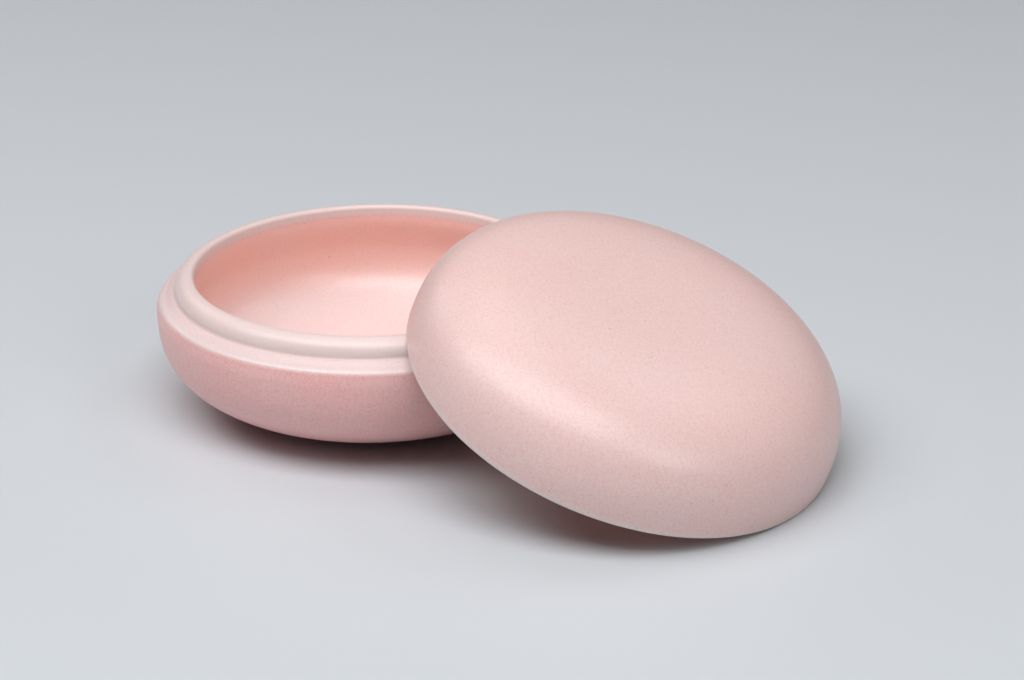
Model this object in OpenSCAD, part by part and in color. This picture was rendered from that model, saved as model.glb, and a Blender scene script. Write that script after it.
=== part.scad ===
// Round two-piece box in glazed stoneware, shaped like a flattened pebble when it is closed.
// The bowl stands level on its foot. The lid leans beside it: its rim rests on the bowl's lip
// and its far edge stands on the table. +X runs from the bowl's centre towards the lid, +Z is up,
// and the origin is the middle of the bowl's foot, on the table.

/* [Bowl] */
// Widest diameter of the bowl, at its belly
bowl_d = 115; // [114:0.5:118]
// Height of the ledge that carries the closed lid, beside the lip
ledge_h = 31.8; // [31:0.1:32.2]
// How far the ledge slopes down to its outer edge
ledge_drop = 1; // [0:0.1:1.2]
// Width of the ledge, from the lip to the bowl's side
ledge_w = 4.9; // [4.7:0.1:5.6]
// Radius of the rounded edge outside the ledge
shoulder_r = 2; // [1.6:0.1:2.2]
// Diameter of the flat underside
foot_d = 45; // [36:1:54]
// Thickness of the floor inside the foot
floor_t = 4.6; // [3.6:0.1:6]

/* [Lip] */
// Thickness of the lip that locates the lid
lip_t = 5.2; // [5:0.1:5.6]
// Height of the lip above the ledge
lip_h = 4.9; // [4.6:0.1:5.1]
// Radius of the large round on the lip's outer edge
crown_r = 4; // [3.5:0.1:4.1]

/* [Lid] */
// Distance that the lid's side stands in from the bowl's side, when closed
lid_inset = 1.2; // [0.9:0.1:1.3]
// Height of the lid from its rim to its top
lid_h = 26.6; // [22:0.2:32]
// Thickness of the lid's wall
lid_t = 3.2; // [2.9:0.1:3.2]

/* [Rest] */
// Angle between the leaning lid's rim and the table
lean = 21.85; // [21.5:0.05:23]
// Clearance between the flat of the lid's rim and the bowl's lip, where the rim crosses it
rest_gap = 0.4; // [0.3:0.05:0.6]

/* [Hidden] */

// Curves: steps along each long curve, steps along each small round
curve_n = 36;
round_n = 8;
$fn = 192;

// Bowl: outer radius, how far the side leans in from its belly up to the shoulder, height of the
// belly, and the recess inside the foot ring
bowl_r = bowl_d / 2;
edge_h = ledge_h - ledge_drop;
side_in = 0.3;
belly_h = edge_h - shoulder_r - 0.8;
foot_r = foot_d / 2;
foot_ring_w = 5;
recess_h = 1;

// Fullness of the bowl's outer and inner curves, sideways and downwards (2 is an ellipse)
bowl_full = [1.5, 3];
hollow_full = [1.7, 2.7];

// Lip: outer radius, height of its top, the small round on its inner edge, and the fillet that
// leads from the ledge up to its large outer round
lip_r = bowl_r - ledge_w;
lip_top = ledge_h + lip_h;
brink_r = min(1.1, lip_t - crown_r - 0.1);
root_r = lip_h - crown_r;

// Hollow of the bowl: it widens a little below the lip, behind the ledge
mouth_r = lip_r - lip_t;
hollow_r = mouth_r + 3.2;
throat_h = lip_top - 3.6;
hollow_h = ledge_h - 9.8;
hollow_flat_r = 16;

// Lid: outer radius, the small round on both edges of its rim, and the fullness of its outside
// and its inside
lid_r = bowl_r - lid_inset;
rim_r = 0.7;
lid_full = [3.7, 2.65];
lid_hollow_full = [3.5, 2.5];

// Where the leaning lid stands: its far edge touches the table, and the flat of its rim clears
// the middle of the lip's outer round by that round's radius and the gap, where the rim's inner
// edge crosses the lip
stand_z = (lid_r - rim_r) * sin(lean) + rim_r * (1 - cos(lean));
crown_z = lip_top - crown_r - stand_z;
run = (crown_r + rest_gap + crown_z * cos(lean)) / sin(lean);
along = run * cos(lean) + crown_z * sin(lean);
across = sqrt(pow(lid_r - lid_t + rim_r, 2) - pow(along, 2));
stand_x = sqrt(pow(lip_r - crown_r, 2) - pow(across, 2)) + run;

// Points of a circular arc about c, from angle a to angle b
function arc(c, r, a, b, n = round_n) =
    [for (i = [0:n]) c + r * [cos(a + (b - a) * i / n), sin(a + (b - a) * i / n)]];

// Points of one quarter of a squared ellipse about c, from angle a to angle b. Its half axes are
// s, signed, and its fullness is f
function quarter(c, s, f, a, b) =
    [for (i = [0:curve_n]) let (t = a + (b - a) * i / curve_n)
        c + [s.x * pow(abs(cos(t)), 2 / f.x), s.y * pow(abs(sin(t)), 2 / f.y)]];

// Points of a half wave that leads smoothly from point p down to point q
function wave(p, q, n = 12) =
    [for (i = [1:n - 1])
        [p.x + (q.x - p.x) * (1 - cos(180 * i / n)) / 2, p.y + (q.y - p.y) * i / n]];

// Half section of the bowl
bowl_outline = concat(
    [[0, recess_h], [foot_r - foot_ring_w, recess_h]],
    arc([foot_r - foot_ring_w + recess_h, recess_h], recess_h, 180, 270),
    quarter([foot_r, belly_h], [bowl_r - foot_r, -belly_h], bowl_full, 90, 0),
    arc([bowl_r - side_in - shoulder_r, edge_h - shoulder_r], shoulder_r, 0, 90),
    arc([lip_r + root_r, ledge_h + root_r], root_r, 270, 180),
    arc([lip_r - crown_r, lip_top - crown_r], crown_r, 6, 90, 14),
    arc([mouth_r + brink_r, lip_top - brink_r], brink_r, 90, 180),
    [[mouth_r, throat_h]],
    wave([mouth_r, throat_h], [hollow_r, hollow_h]),
    quarter([hollow_flat_r, hollow_h], [hollow_r - hollow_flat_r, floor_t - hollow_h], hollow_full,
        0, 90),
    [[0, floor_t]]
);

// Half section of the lid, standing on its rim
lid_outline = concat(
    arc([lid_r - lid_t + rim_r, rim_r], rim_r, 180, 270),
    arc([lid_r - rim_r, rim_r], rim_r, 270, 360),
    quarter([0, rim_r], [lid_r, lid_h - rim_r], lid_full, 0, 90),
    quarter([0, rim_r], [lid_r - lid_t, lid_h - lid_t - rim_r], lid_hollow_full, 90, 0)
);

// Bowl with its foot, ledge and lip
module base() {
    color("#f0c6c0")
        rotate_extrude()
            polygon(bowl_outline);
}

// Hollow lid, leaning on the bowl's lip
module lid() {
    color("#f2cdc8")
        translate([stand_x, 0, stand_z])
            rotate([0, lean, 0])
                rotate_extrude()
                    polygon(lid_outline);
}

base();
lid();
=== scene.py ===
import math
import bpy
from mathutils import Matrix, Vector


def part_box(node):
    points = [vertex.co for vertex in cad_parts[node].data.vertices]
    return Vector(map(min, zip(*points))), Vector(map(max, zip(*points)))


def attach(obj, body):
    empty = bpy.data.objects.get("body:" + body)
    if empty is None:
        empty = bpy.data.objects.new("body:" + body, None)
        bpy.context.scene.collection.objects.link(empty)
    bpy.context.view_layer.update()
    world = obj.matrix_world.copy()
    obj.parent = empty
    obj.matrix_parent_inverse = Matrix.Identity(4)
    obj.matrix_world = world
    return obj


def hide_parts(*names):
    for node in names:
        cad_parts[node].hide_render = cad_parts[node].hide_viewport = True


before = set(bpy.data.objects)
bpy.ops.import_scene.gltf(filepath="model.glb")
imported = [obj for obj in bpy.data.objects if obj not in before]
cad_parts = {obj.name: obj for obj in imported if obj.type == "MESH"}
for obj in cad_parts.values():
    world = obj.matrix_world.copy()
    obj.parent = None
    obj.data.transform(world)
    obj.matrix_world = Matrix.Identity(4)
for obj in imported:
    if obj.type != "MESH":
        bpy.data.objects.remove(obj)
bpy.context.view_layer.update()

from types import SimpleNamespace

import bpy
import numpy as np
from mathutils import Matrix, Vector, noise

# A round lidded box in pink-glazed stoneware: a bowl with a locating lip, and a domed lid that
# leans on it. Both pieces are turned shapes, so each is lathed from one fine outline. The outlines
# are the CAD part's, drawn with more points.

MM = 0.001

# ---------------------------------------------------------------- sizes, from the frame

base_low, base_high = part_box("base")
lid_low, lid_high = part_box("lid")

# Bowl: T is a thickness, H a height, R a radius and W a width
BOWL_R = (base_high.y - base_low.y) / 2
LIP_TOP = base_high.z
LIP_H = 4.9 * MM
LIP_T = 5.2 * MM
LEDGE_W = 4.9 * MM
LEDGE_DROP = 1 * MM
LEDGE_H = LIP_TOP - LIP_H
EDGE_H = LEDGE_H - LEDGE_DROP
LIP_R = BOWL_R - LEDGE_W
CROWN_R = 4 * MM
BRINK_R = 1.1 * MM
ROOT_R = LIP_H - CROWN_R
SHOULDER_R = 2 * MM
SIDE_IN = 0.3 * MM
SHOULDER_MID = (BOWL_R - SIDE_IN - SHOULDER_R, EDGE_H - SHOULDER_R)
BELLY_H = EDGE_H - SHOULDER_R - 0.8 * MM
FOOT_R = 22.5 * MM
FOOT_RING_W = 5 * MM
RECESS_H = 1 * MM
FLOOR_T = 4.6 * MM
BOWL_FULL = (1.5, 3.0)

# Fine rings that the turning tool left on the ledge
RING_DEPTH = 0.06 * MM
RING_PITCH = 0.55 * MM

# Hollow of the bowl
MOUTH_R = LIP_R - LIP_T
HOLLOW_R = MOUTH_R + 3.2 * MM
THROAT_H = LIP_TOP - 3.6 * MM
HOLLOW_H = LEDGE_H - 9.8 * MM
HOLLOW_FLAT_R = 16 * MM
HOLLOW_FULL = (1.7, 2.7)

# Lid
LEAN = math.radians(21.85)
LID_R = (lid_high.y - lid_low.y) / 2
LID_H = 26.6 * MM
LID_T = 3.2 * MM
RIM_R = 0.7 * MM
LID_FULL = (3.7, 2.65)
LID_HOLLOW_FULL = (3.5, 2.5)

# Steps round each lathed piece
SEGMENTS = 288

# The camera's view, level: AHEAD is away from it and ACROSS is to its right
AROUND = math.radians(35.32)
AHEAD = Vector((-math.sin(AROUND), math.cos(AROUND), 0))
ACROSS = Vector((math.cos(AROUND), math.sin(AROUND), 0))


# ---------------------------------------------------------------- outlines

def arc(centre, radius, start, end, n=10):
    """Points of a circular arc, angles in degrees."""
    turns = [math.radians(start + (end - start) * i / n) for i in range(n + 1)]
    return [(centre[0] + radius * math.cos(t), centre[1] + radius * math.sin(t)) for t in turns]


def quarter(centre, size, full, start, end, n=72):
    """Points of one quarter of a squared ellipse. size is signed, angles in degrees."""
    points = []
    for i in range(n + 1):
        t = math.radians(start + (end - start) * i / n)
        points.append((centre[0] + size[0] * abs(math.cos(t)) ** (2 / full[0]),
                       centre[1] + size[1] * abs(math.sin(t)) ** (2 / full[1])))
    return points


def wave(start, end, n=24):
    """Points of a half wave that leads smoothly from one point to the other."""
    return [(start[0] + (end[0] - start[0]) * (1 - math.cos(math.pi * i / n)) / 2,
             start[1] + (end[1] - start[1]) * i / n) for i in range(1, n)]


def line(start, end, n):
    """Points along a straight stretch, ends left out."""
    return [(start[0] + (end[0] - start[0]) * i / n,
             start[1] + (end[1] - start[1]) * i / n) for i in range(1, n)]


def rings(start, end):
    """Points along the ledge, which carries fine rings that fade out towards both its ends."""
    run = abs(end[0] - start[0])
    points = []
    for r, z in line(start, end, int(run / RING_PITCH) * 8):
        s = abs(r - start[0])
        fade = min(1, s / RING_PITCH, (run - s) / RING_PITCH)
        groove = 0.5 - 0.5 * math.cos(2 * math.pi * s / RING_PITCH)
        points.append((r, z - RING_DEPTH * fade * groove))
    return points


def bowl_outline():
    """Half section of the bowl, from the middle of its underside round to the floor inside."""
    recess_r = FOOT_R - FOOT_RING_W
    return (
        [(0, RECESS_H)]
        + line((0, RECESS_H), (recess_r, RECESS_H), 20)
        + arc((recess_r + RECESS_H, RECESS_H), RECESS_H, 180, 270, 8)
        + quarter((FOOT_R, BELLY_H), (BOWL_R - FOOT_R, -BELLY_H), BOWL_FULL, 90, 0)
        + arc(SHOULDER_MID, SHOULDER_R, 0, 90, 16)
        + rings((SHOULDER_MID[0], EDGE_H), (LIP_R + ROOT_R, LEDGE_H))
        + arc((LIP_R + ROOT_R, LEDGE_H + ROOT_R), ROOT_R, 270, 180)
        + arc((LIP_R - CROWN_R, LIP_TOP - CROWN_R), CROWN_R, 0, 90, 20)
        + arc((MOUTH_R + BRINK_R, LIP_TOP - BRINK_R), BRINK_R, 90, 180)
        + line((MOUTH_R, LIP_TOP - BRINK_R), (MOUTH_R, THROAT_H), 6)
        + [(MOUTH_R, THROAT_H)]
        + wave((MOUTH_R, THROAT_H), (HOLLOW_R, HOLLOW_H))
        + quarter((HOLLOW_FLAT_R, HOLLOW_H), (HOLLOW_R - HOLLOW_FLAT_R, FLOOR_T - HOLLOW_H),
                  HOLLOW_FULL, 0, 90)
        + line((HOLLOW_FLAT_R, FLOOR_T), (0, FLOOR_T), 16)
        + [(0, FLOOR_T)]
    )


def lid_outline():
    """Half section of the lid standing on its rim, from inside its top round to the outside."""
    inner_h = LID_H - LID_T - RIM_R
    return (
        quarter((0, RIM_R), (LID_R - LID_T, inner_h), LID_HOLLOW_FULL, 90, 0)
        + arc((LID_R - LID_T + RIM_R, RIM_R), RIM_R, 180, 270)
        + line((LID_R - LID_T + RIM_R, 0), (LID_R - RIM_R, 0), 8)
        + arc((LID_R - RIM_R, RIM_R), RIM_R, 270, 360)
        + quarter((0, RIM_R), (LID_R, LID_H - RIM_R), LID_FULL, 0, 90)
    )


def tidy_outline(points, least=0.02 * MM):
    """The outline without repeated points, its ends exactly on the axis."""
    kept = [points[0]]
    for p in points[1:]:
        if math.dist(p, kept[-1]) > least:
            kept.append(p)
    kept[0] = (0.0, kept[0][1])
    kept[-1] = (0.0, kept[-1][1])
    return np.array(kept)


def along(outline):
    """Distance of each point from the outline's start, measured along it."""
    return np.concatenate([[0], np.cumsum(np.hypot(*np.diff(outline, axis=0).T))])


def stretch(outline, start, end, fade):
    """1 between the points nearest to start and end, falling smoothly to 0 over fade beside them."""
    place = along(outline)
    ends = [place[np.hypot(*(outline - spot).T).argmin()] for spot in (start, end)]
    beside = np.maximum(min(ends) - place, place - max(ends))
    return np.exp(-(np.maximum(beside, 0) / fade) ** 2)


def bowl_bands(outline):
    """How strongly each of the glaze's bands shows at each point of the bowl's outline.

    Over the lip the glaze is thin, with painted highlight along its crown. The ledge is pale between
    lip and shoulder, partly as painted sheen. Along the shoulder the glaze is thin, with a painted
    highlight line.
    pool: thick in the crease beside the lip. inside: the lining, whose coral is painted shade and
    bounce light. floor: pale inside the bowl, painted light where the light falls on it.
    bare: the foot ring, which has no glaze.
    """
    shoulder = (SHOULDER_MID[0] + SHOULDER_R * math.sqrt(0.5),
                SHOULDER_MID[1] + SHOULDER_R * math.sqrt(0.5))
    crease = (LIP_R + ROOT_R * (1 - math.sqrt(0.5)), LEDGE_H + ROOT_R * (1 - math.sqrt(0.5)))
    lip_foot = (LIP_R, LEDGE_H + ROOT_R)
    lip_inside = (MOUTH_R, LIP_TOP - 2 * MM)
    throat = (MOUTH_R, THROAT_H)
    floor_middle = (0, FLOOR_T)
    floor_edge = (43 * MM, 12 * MM)
    recess_edge = (FOOT_R - FOOT_RING_W, RECESS_H)
    foot_edge = (FOOT_R, 0)
    return {
        # Cream over the lip: thin glaze, and painted highlight along the crown
        "wiped": stretch(outline, lip_foot, lip_inside, 0.9 * MM),
        # The ledge's paleness is partly thin glaze, partly painted sheen
        "ledge": stretch(outline, shoulder, lip_foot, 0.3 * MM),
        # Cream along the shoulder: glaze breaking on the edge, and a painted highlight line
        "edge": stretch(outline, shoulder, shoulder, 0.55 * MM),
        "pool": stretch(outline, crease, crease, 0.5 * MM),
        # Inside: the coral here is painted shade and bounce light
        "inside": stretch(outline, throat, floor_middle, 0.5 * MM),
        # Floor inside: painted light
        "floor": stretch(outline, floor_edge, floor_middle, 9 * MM),
        "bare": stretch(outline, recess_edge, foot_edge, 0.4 * MM),
    }


def lid_bands(outline):
    """The same for the lid: thin just inside its rim, thin with a painted highlight line along its
    outer edge, bare on its rim.
    """
    inner_r = LID_R - LID_T
    above_rim = (inner_r, 3 * MM)
    rim_outside = (LID_R, RIM_R)
    return {
        "wiped": stretch(outline, above_rim, above_rim, 1.2 * MM),
        # Cream along the rim's outside: glaze breaking on the edge, and a painted highlight line
        "edge": stretch(outline, rim_outside, rim_outside, 0.35 * MM),
        "inside": stretch(outline, (0, LID_H - LID_T), (inner_r, 4 * MM), 0.5 * MM),
        "bare": stretch(outline, (inner_r, RIM_R), (LID_R - 0.1 * MM, 0.4 * MM), 0.25 * MM),
    }


# ---------------------------------------------------------------- lathed meshes

def uneven(point, seed):
    """How far hand work moved the surface at a point, along its normal. The foot stays true."""
    shift = Vector((seed, 2.3 * seed, -seed))
    slow = noise.noise(point / (38 * MM) + shift)
    quick = noise.noise(point / (9 * MM) - shift)
    share = min(1, max(0, point.z / (6 * MM)))
    return share * (0.10 * MM * slow + 0.015 * MM * quick)


def lathe(name, outline, bands, seed):
    """A smooth turned piece, standing at the origin, whose vertices carry the glaze's bands."""
    outline = tidy_outline(outline)
    rows = len(outline)
    turns = np.linspace(0, 2 * math.pi, SEGMENTS, endpoint=False)
    verts = [Vector((0, 0, outline[0, 1]))]
    for r, z in outline[1:-1]:
        verts.extend(Vector((r * math.cos(t), r * math.sin(t), z)) for t in turns)
    verts.append(Vector((0, 0, outline[-1, 1])))

    faces = []
    last = len(verts) - 1
    for j in range(SEGMENTS):
        k = (j + 1) % SEGMENTS
        faces.append((0, 1 + k, 1 + j))
        faces.append((last, last - SEGMENTS + j, last - SEGMENTS + k))
        for i in range(rows - 3):
            a = 1 + i * SEGMENTS
            b = a + SEGMENTS
            faces.append((a + j, a + k, b + k, b + j))

    mesh = bpy.data.meshes.new(name)
    mesh.from_pydata(verts, [], faces)
    mesh.update()
    for v, n in zip(mesh.vertices, [v.normal.copy() for v in mesh.vertices]):
        v.co += n * uneven(v.co, seed)
    for label, level in bands(outline).items():
        layer = mesh.attributes.new(label, "FLOAT", "POINT")
        spread = np.concatenate([level[:1], np.repeat(level[1:-1], SEGMENTS), level[-1:]])
        layer.data.foreach_set("value", spread)
    mesh.polygons.foreach_set("use_smooth", [True] * len(mesh.polygons))
    mesh.update()
    piece = bpy.data.objects.new(name, mesh)
    bpy.context.scene.collection.objects.link(piece)
    return piece


def lean_lid(piece):
    """Tips the lid's mesh and sets it where its CAD node is."""
    piece.data.transform(Matrix.Rotation(LEAN, 4, "Y"))
    spots = np.array([v.co for v in piece.data.vertices])
    middle = Vector((spots.min(0) + spots.max(0)) / 2)
    piece.data.transform(Matrix.Translation((lid_low + lid_high) / 2 - middle))


# ---------------------------------------------------------------- materials

def node_kit(material):
    """Short helpers that add nodes to a material and wire them: any node, a mix of two colours,
    a value fitted from one range to another, and a product."""
    tree = material.node_tree
    tree.nodes.clear()

    def add(kind, inputs=(), **settings):
        node = tree.nodes.new("ShaderNode" + kind)
        for key, value in settings.items():
            setattr(node, key, value)
        for key, value in dict(inputs).items():
            if isinstance(value, bpy.types.NodeSocket):
                tree.links.new(value, node.inputs[key])
            else:
                node.inputs[key].default_value = value
        return node

    def mix(factor, a, b, blend="MIX"):
        node = tree.nodes.new("ShaderNodeMix")
        node.data_type = "RGBA"
        node.blend_type = blend
        for socket, value in ((node.inputs[0], factor), (node.inputs[6], a), (node.inputs[7], b)):
            if isinstance(value, bpy.types.NodeSocket):
                tree.links.new(value, socket)
            else:
                socket.default_value = value
        return node.outputs[2]

    def fit(value, low, high, to_low=0.0, to_high=1.0, smooth=True):
        node = tree.nodes.new("ShaderNodeMapRange")
        node.interpolation_type = "SMOOTHSTEP" if smooth else "LINEAR"
        tree.links.new(value, node.inputs[0])
        for i, number in enumerate((low, high, to_low, to_high), 1):
            node.inputs[i].default_value = number
        return node.outputs[0]

    def times(a, b):
        return add("Math", {0: a, 1: b}, operation="MULTIPLY").outputs[0]

    return SimpleNamespace(add=add, mix=mix, fit=fit, times=times)


# Glaze of the bowl, of the lid, and inside both. The bowl's pink is deeper than the lid's, as
# painted shade on its side, which faces away from the light above
BOWL_PINK_PAINTED_SHADE = (0.93, 0.54, 0.53, 1)
LID_PINK = (0.857, 0.62, 0.597, 1)
# The lining's bright coral is painted shade and bounce light on the inner walls
LINING_PAINTED_SHADE = (0.99, 0.58, 0.505, 1)

# The same glaze where it is thin, with painted highlight over the lip and edges; paler on the floor
# inside as painted light; paler on the ledge, partly painted sheen; and where it pools
# Cream: thin glaze, and over the lip and edges partly painted highlight
CREAM = (0.825, 0.725, 0.70, 1)
# Pale floor inside the bowl: painted light
FLOOR_PAINTED_LIGHT = (0.865, 0.755, 0.755, 1)
# Pale ledge: partly thin glaze, partly painted sheen
LEDGE_PALE_AND_SHEEN = (0.74, 0.70, 0.70, 1)
CORAL = (0.75, 0.40, 0.34, 1)

# Tint of its fine mottling, its rare dark specks, and the clay that it leaves bare
DEEPER = (0.955, 0.83, 0.795, 1)
SPECK = (0.72, 0.30, 0.24, 1)
CLAY = (0.80, 0.72, 0.66, 1)


def banded_colour(kit, band, spot, mottle, pink, lining_painted_shade):
    """Pink outside and lined inside, the lining's coral painted shade and bounce light; paler where
    the glaze is thin, on the ledge partly as painted sheen and on the floor inside as painted light;
    cream over the lip and edges, partly painted highlight; deeper where it pools.
    """
    ragged = kit.fit(mottle, 0.3, 0.7, 0.85, 1.0)
    # Coral inside: painted shade and bounce light
    colour = kit.mix(band["inside"], pink, lining_painted_shade)
    # Painted light on the floor inside; the ledge's paleness is partly painted sheen
    for label, strength, tint in (("floor", 0.8, FLOOR_PAINTED_LIGHT), ("ledge", 0.62, LEDGE_PALE_AND_SHEEN)):
        colour = kit.mix(kit.times(band[label], strength), colour, tint)
    # Cream over the lip and along edges: thin glaze, partly painted highlight
    for label, strength in (("wiped", 0.85), ("edge", 0.9)):
        colour = kit.mix(kit.times(band[label], kit.times(ragged, strength)), colour, CREAM)
    colour = kit.mix(kit.times(band["pool"], 0.3), colour, CORAL)
    cloud = kit.add("TexNoise", {"Vector": spot, "Scale": 45.0, "Detail": 3.0}).outputs["Fac"]
    return kit.mix(kit.fit(cloud, 0.3, 0.7, 0.0, 0.15), colour, CREAM)


def mottled(kit, band, spot, mottle, colour, strength):
    """Deepens the colour in fine flecks, calmer inside, over the lip and on the ledge."""
    grain = kit.add("TexNoise", {"Vector": spot, "Scale": 3400.0, "Detail": 2.0}).outputs["Fac"]
    thin = kit.add("Math", {0: band["wiped"], 1: band["ledge"]}, operation="MAXIMUM").outputs[0]
    level = kit.times(kit.fit(band["inside"], 0.0, 1.0, strength, 0.75),
                      kit.fit(thin, 0.0, 1.0, 1.0, 0.4, smooth=False))
    colour = kit.mix(kit.times(kit.fit(mottle, 0.40, 0.80), level), colour, DEEPER, "MULTIPLY")
    return kit.mix(kit.times(kit.fit(grain, 0.45, 0.8), level), colour, DEEPER, "MULTIPLY")


def rare_specks(kit, spot):
    """1 in small round specks, which only few of the cells have, and 0 between them."""
    cells = kit.add("TexVoronoi", {"Vector": spot, "Scale": 260.0, "Randomness": 1.0})
    few = kit.fit(cells.outputs["Color"], 0.70, 0.72)
    return kit.times(kit.fit(cells.outputs["Distance"], 0.04, 0.09, 1.0, 0.0), few)


def relief(kit, spot, mottle, speck):
    """Bump of the glaze: a faint swell, a fainter grain, and a pit in each speck."""
    swell = kit.add("TexNoise", {"Vector": spot, "Scale": 260.0, "Detail": 2.0}).outputs["Fac"]
    height = kit.add("Math", {0: kit.times(swell, 0.05), 1: kit.times(mottle, 0.02)},
                     operation="ADD").outputs[0]
    height = kit.add("Math", {0: height, 1: kit.times(speck, 0.03)}, operation="SUBTRACT").outputs[0]
    return kit.add("Bump", {"Strength": 0.35, "Distance": 1 * MM, "Height": height})


def glaze_material(name, pink, mottling):
    """Satin glaze: mottled, specked, cream where it was wiped or breaks on an edge, and there partly
    painted highlight.
    """
    material = bpy.data.materials.new(name)
    material.use_nodes = True
    kit = node_kit(material)
    spot = kit.add("TexCoord").outputs["Object"]
    # A piece whose mesh has no such band reads it as 0
    band = {label: kit.add("Attribute", attribute_name=label).outputs["Fac"]
            for label in ("wiped", "ledge", "edge", "pool", "inside", "floor", "bare")}
    mottle = kit.add("TexNoise", {"Vector": spot, "Scale": 1400.0, "Detail": 4.0,
                                  "Roughness": 0.75}).outputs["Fac"]
    speck = rare_specks(kit, spot)

    colour = banded_colour(kit, band, spot, mottle, pink, LINING_PAINTED_SHADE)
    colour = mottled(kit, band, spot, mottle, colour, mottling)
    colour = kit.mix(kit.times(speck, 0.6), colour, SPECK)
    colour = kit.mix(band["bare"], colour, CLAY)
    roughness = kit.add("Math", {0: kit.fit(mottle, 0.3, 0.7, 0.28, 0.38),
                                 1: kit.times(band["bare"], 0.35)}, operation="ADD").outputs[0]
    shader = kit.add("BsdfPrincipled", {
        "Base Color": colour,
        "Roughness": roughness,
        "Normal": relief(kit, spot, mottle, speck).outputs["Normal"],
        "IOR": 1.5,
    })
    kit.add("OutputMaterial", {"Surface": shader.outputs[0]})
    return material


# ---------------------------------------------------------------- pieces

def make_pieces():
    """Builds the bowl and the lid in place of their CAD nodes."""
    bowl = lathe("bowl_glazed", bowl_outline(), bowl_bands, seed=1.7)
    # The bowl's deeper pink is painted shade on its side
    bowl.data.materials.append(glaze_material("bowl_glaze", BOWL_PINK_PAINTED_SHADE, mottling=1.7))
    lid = lathe("lid_glazed", lid_outline(), lid_bands, seed=4.1)
    lid.data.materials.append(glaze_material("lid_glaze", LID_PINK, mottling=1.25))
    lean_lid(lid)
    for piece, body, node in ((bowl, "bowl", "base"), (lid, "lid", "lid")):
        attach(piece, body)
        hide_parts(node)


# ---------------------------------------------------------------- floor, light and camera

FLOOR_GREY = (0.635, 0.66, 0.69, 1)
KEY_COLOUR = (0.965, 0.985, 1.0)
FILL_COLOUR = (1.0, 0.985, 0.97)


def make_floor():
    """A plain pale floor under the bowl's foot and the lid's far edge."""
    reach = 3.0
    corners = [(-reach, -reach, 0), (reach, -reach, 0), (reach, reach, 0), (-reach, reach, 0)]
    mesh = bpy.data.meshes.new("floor")
    mesh.from_pydata(corners, [], [(0, 1, 2, 3)])
    floor = bpy.data.objects.new("floor", mesh)
    bpy.context.scene.collection.objects.link(floor)
    material = bpy.data.materials.new("floor")
    material.use_nodes = True
    shader = material.node_tree.nodes["Principled BSDF"]
    shader.inputs["Base Color"].default_value = FLOOR_GREY
    shader.inputs["Roughness"].default_value = 0.5
    mesh.materials.append(material)


def soft_light(name, around, up, away, width, depth, power, colour=FILL_COLOUR):
    """A soft box that faces the object. around turns rightwards from the camera's side and up
    rises from the floor, in degrees; away, width and depth are in metres, power in watts."""
    middle = Vector((0.04, 0, 0.02))
    turn = math.radians(around)
    rise = math.radians(up)
    level = math.sin(turn) * ACROSS - math.cos(turn) * AHEAD
    back = math.cos(rise) * level + Vector((0, 0, math.sin(rise)))
    data = bpy.data.lights.new(name, "AREA")
    data.shape = "RECTANGLE"
    data.size = width
    data.size_y = depth
    data.energy = power
    data.color = colour
    light = bpy.data.objects.new(name, data)
    side = Vector((0, 0, 1)).cross(back).normalized()
    axes = Matrix((side, back.cross(side), back)).transposed().to_4x4()
    light.matrix_world = Matrix.Translation(middle + away * back) @ axes
    bpy.context.scene.collection.objects.link(light)


def make_light():
    """A wide soft box high above the camera, and weak fills all round."""
    soft_light("key", -18, 67, 1.55, 1.5, 1.0, 21.5, KEY_COLOUR)
    soft_light("right_fill", 42, 33, 1.55, 0.6, 0.6, 3.8)
    soft_light("left_fill", 275, 50, 1.55, 0.6, 0.6, 4.4)
    soft_light("back_left_fill", 225, 33, 1.55, 0.6, 0.6, 1.3)
    soft_light("back_right_fill", 125, 50, 1.55, 0.8, 0.6, 2.0)
    soft_light("back_fill", 200, 70, 1.55, 0.8, 0.8, 2.2)
    world = bpy.data.worlds.new("studio")
    world.use_nodes = True
    background = world.node_tree.nodes["Background"]
    background.inputs["Color"].default_value = (0.9, 0.95, 1.0, 1)
    background.inputs["Strength"].default_value = 0.01
    bpy.context.scene.world = world


def make_camera():
    """A long lens, looking down at the box with the lid in front on the right."""
    down = math.radians(22.45)
    roll = math.radians(-0.4)
    away = 0.7162
    target = Vector((0.0446, 0, 0.026))
    back = Vector((0, 0, math.sin(down))) - math.cos(down) * AHEAD
    data = bpy.data.cameras.new("camera")
    data.sensor_width = 36
    data.lens = 97.8
    data.clip_start = 0.05
    data.clip_end = 20
    camera = bpy.data.objects.new("camera", data)
    bpy.context.scene.collection.objects.link(camera)
    turn = (-back).to_track_quat("-Z", "Y").to_matrix().to_4x4() @ Matrix.Rotation(roll, 4, "Z")
    camera.matrix_world = Matrix.Translation(target + away * back) @ turn
    bpy.context.scene.camera = camera


make_pieces()
make_floor()
make_light()
make_camera()
bpy.context.scene.view_settings.view_transform = "Standard"
